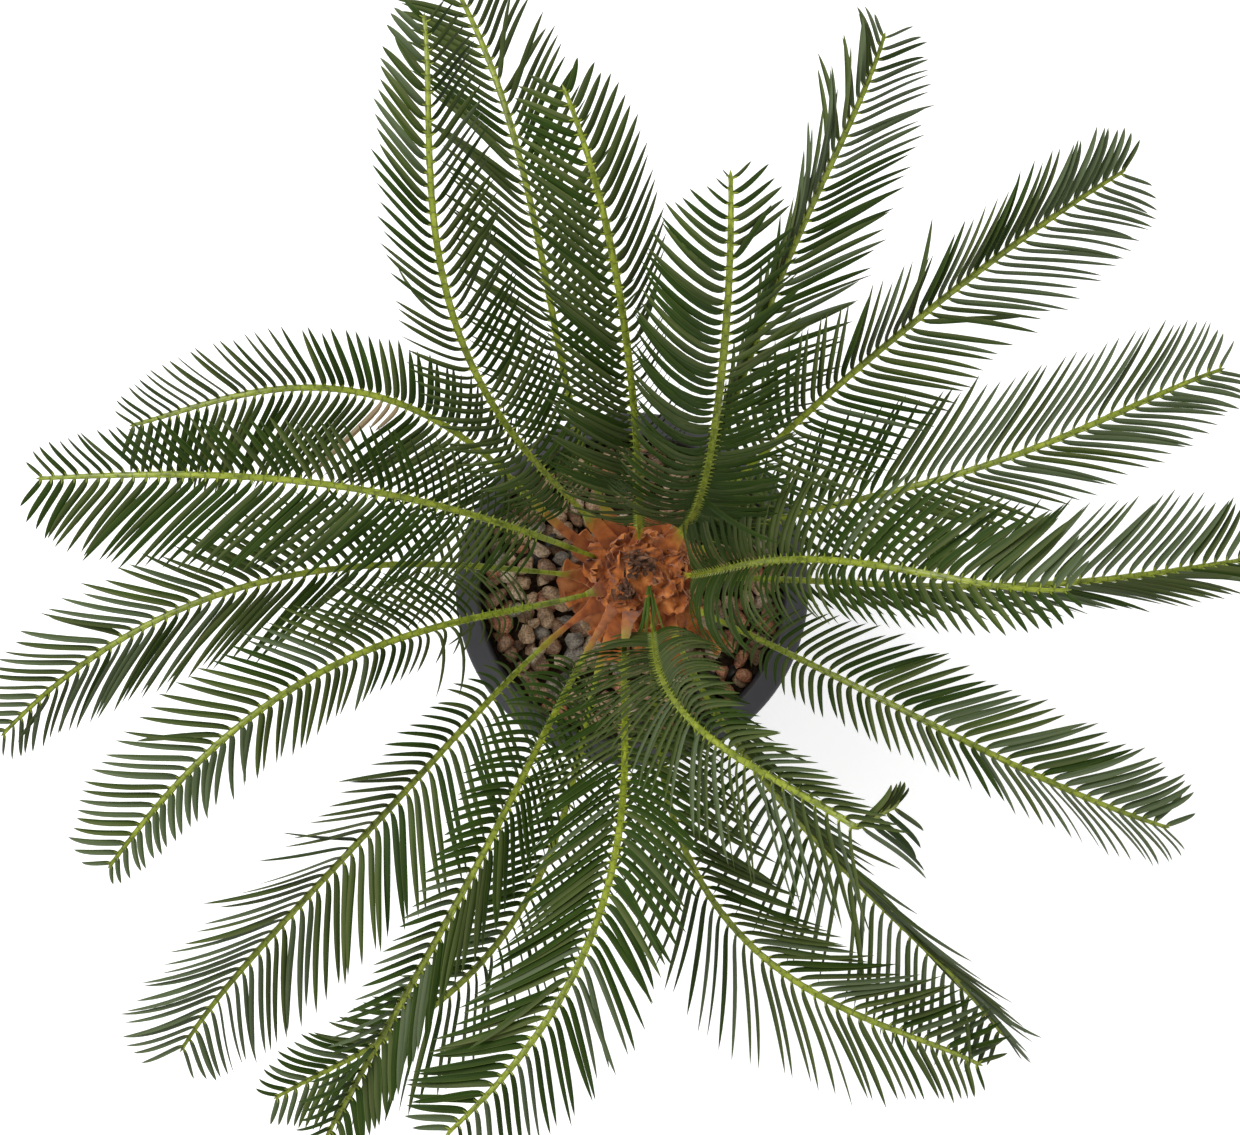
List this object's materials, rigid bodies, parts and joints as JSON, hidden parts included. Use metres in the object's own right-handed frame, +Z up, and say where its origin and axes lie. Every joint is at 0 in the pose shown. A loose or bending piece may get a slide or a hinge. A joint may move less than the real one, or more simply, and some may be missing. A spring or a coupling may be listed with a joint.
{
  "type": "artificial potted sago palm",
  "caption": "Artificial sago palm in a round tapering pot: arching feather fronds on a short woolly trunk, with pebbles on top of the filling.",
  "frame": {"origin": "middle of the pot's flat underside, where it stands", "axes": "+Z up along the pot's axis, -Y the front, +X to the right seen from the front"},
  "size_m": [1.0043, 0.8894, 0.7866],
  "materials": {
    "pot": "matte anthracite",
    "soil": "dark brown filling",
    "pebbles": "worn tan and grey stone",
    "felt": "felty orange brown",
    "leaf": "satin dark green leaflets on a yellow green rachis"
  },
  "bodies": {
    "root": {"pot": "pot", "soil": "soil", "pebbles": "pebbles", "trunk": "felt", "leaf_base_01": "felt", "leaf_base_02": "felt", "leaf_base_03": "felt", "leaf_base_04": "felt", "leaf_base_05": "felt", "leaf_base_06": "felt", "leaf_base_07": "felt", "leaf_base_08": "felt", "leaf_base_09": "felt", "leaf_base_10": "felt", "leaf_base_11": "felt", "leaf_base_12": "felt", "frond_01": "leaf", "frond_02": "leaf", "frond_03": "leaf", "frond_04": "leaf", "frond_05": "leaf", "frond_06": "leaf", "frond_07": "leaf", "frond_08": "leaf", "frond_09": "leaf", "frond_10": "leaf", "frond_11": "leaf", "frond_12": "leaf", "frond_13": "leaf", "frond_14": "leaf", "frond_15": "leaf", "frond_16": "leaf", "frond_17": "leaf", "frond_18": "leaf", "frond_19": "leaf", "frond_20": "leaf", "frond_21": "leaf"}
  },
  "joints": []
}
